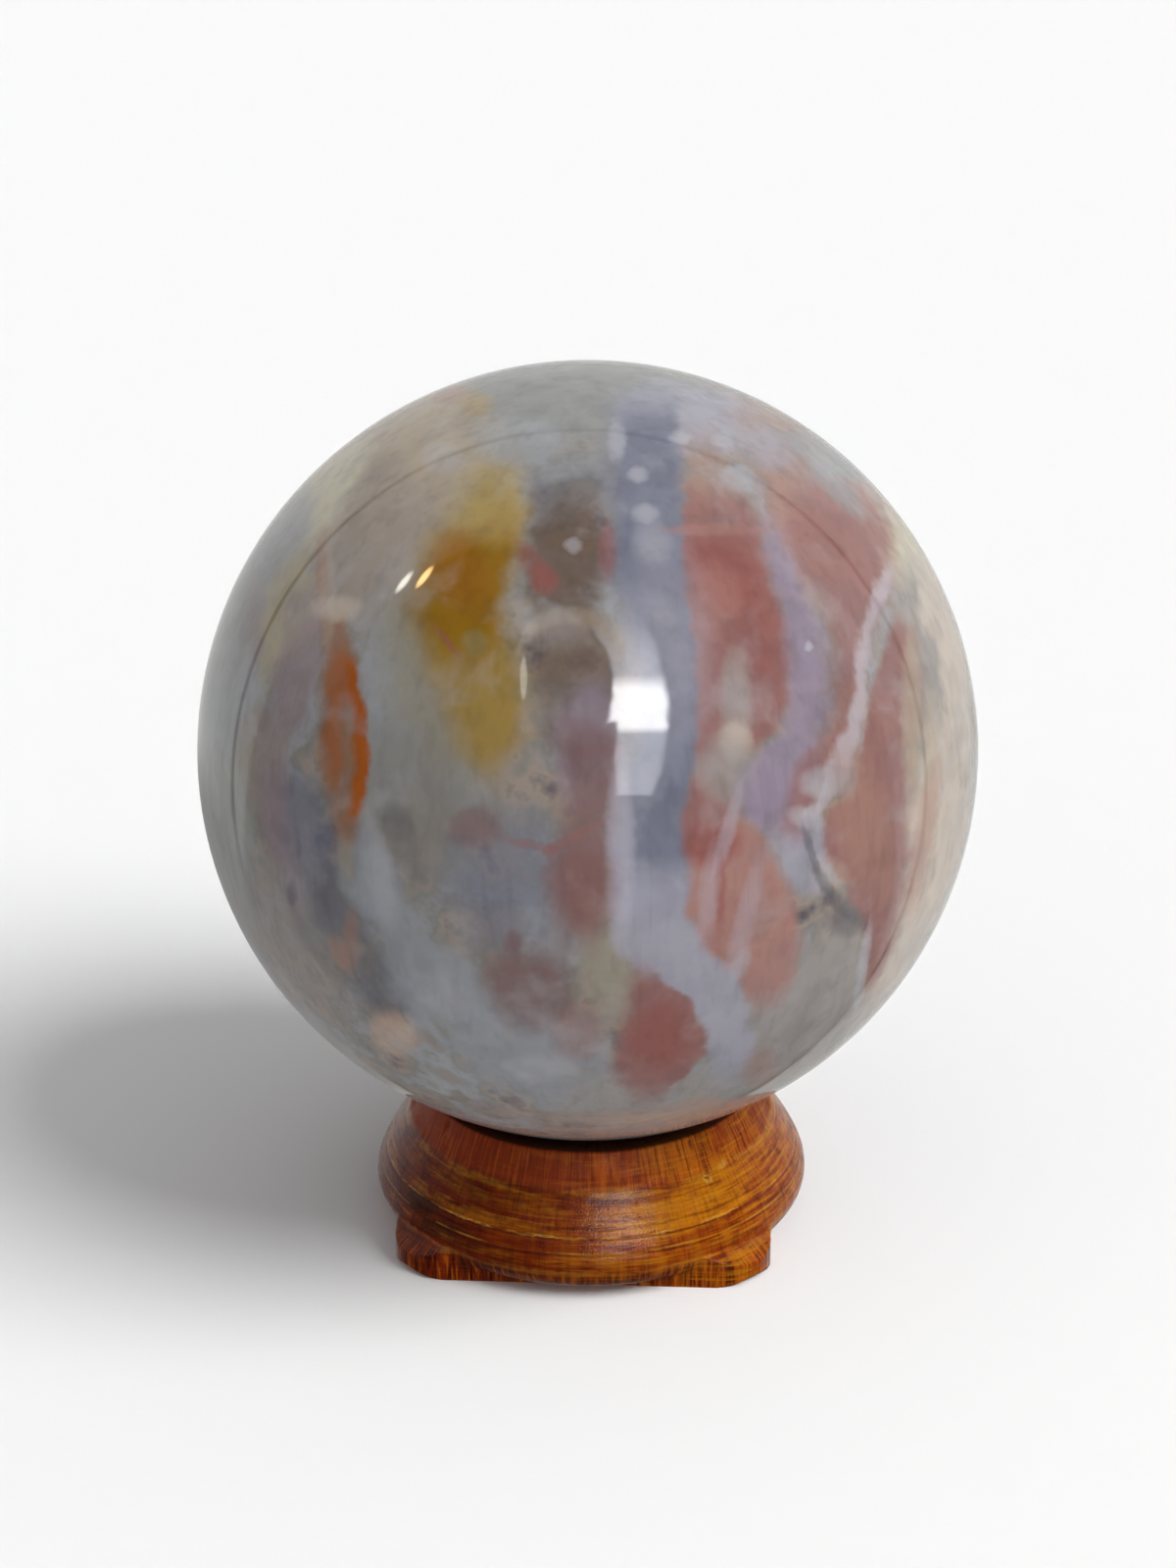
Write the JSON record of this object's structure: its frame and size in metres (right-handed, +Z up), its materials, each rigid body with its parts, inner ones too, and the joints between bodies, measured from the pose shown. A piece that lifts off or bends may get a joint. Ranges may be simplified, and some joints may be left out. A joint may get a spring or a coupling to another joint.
{
  "type": "decorative stone sphere on stand",
  "caption": "Polished banded stone sphere that rests in the shallow seat of a low turned wooden stand, with a bulged ring over a square foot with rounded corners.",
  "frame": {"origin": "centre of the stand's flat underside, on the surface that it stands on", "axes": "+Z up through the centres of the stand and the ball, +X and +Y square to the foot's flats, -Y towards the side that the picture shows"},
  "size_m": [0.08, 0.08, 0.0915],
  "materials": {
    "banded_stone": "polished",
    "varnished_wood": "gloss"
  },
  "bodies": {
    "root": {"stone_sphere": "banded_stone", "turned_stand": "varnished_wood"}
  },
  "joints": []
}
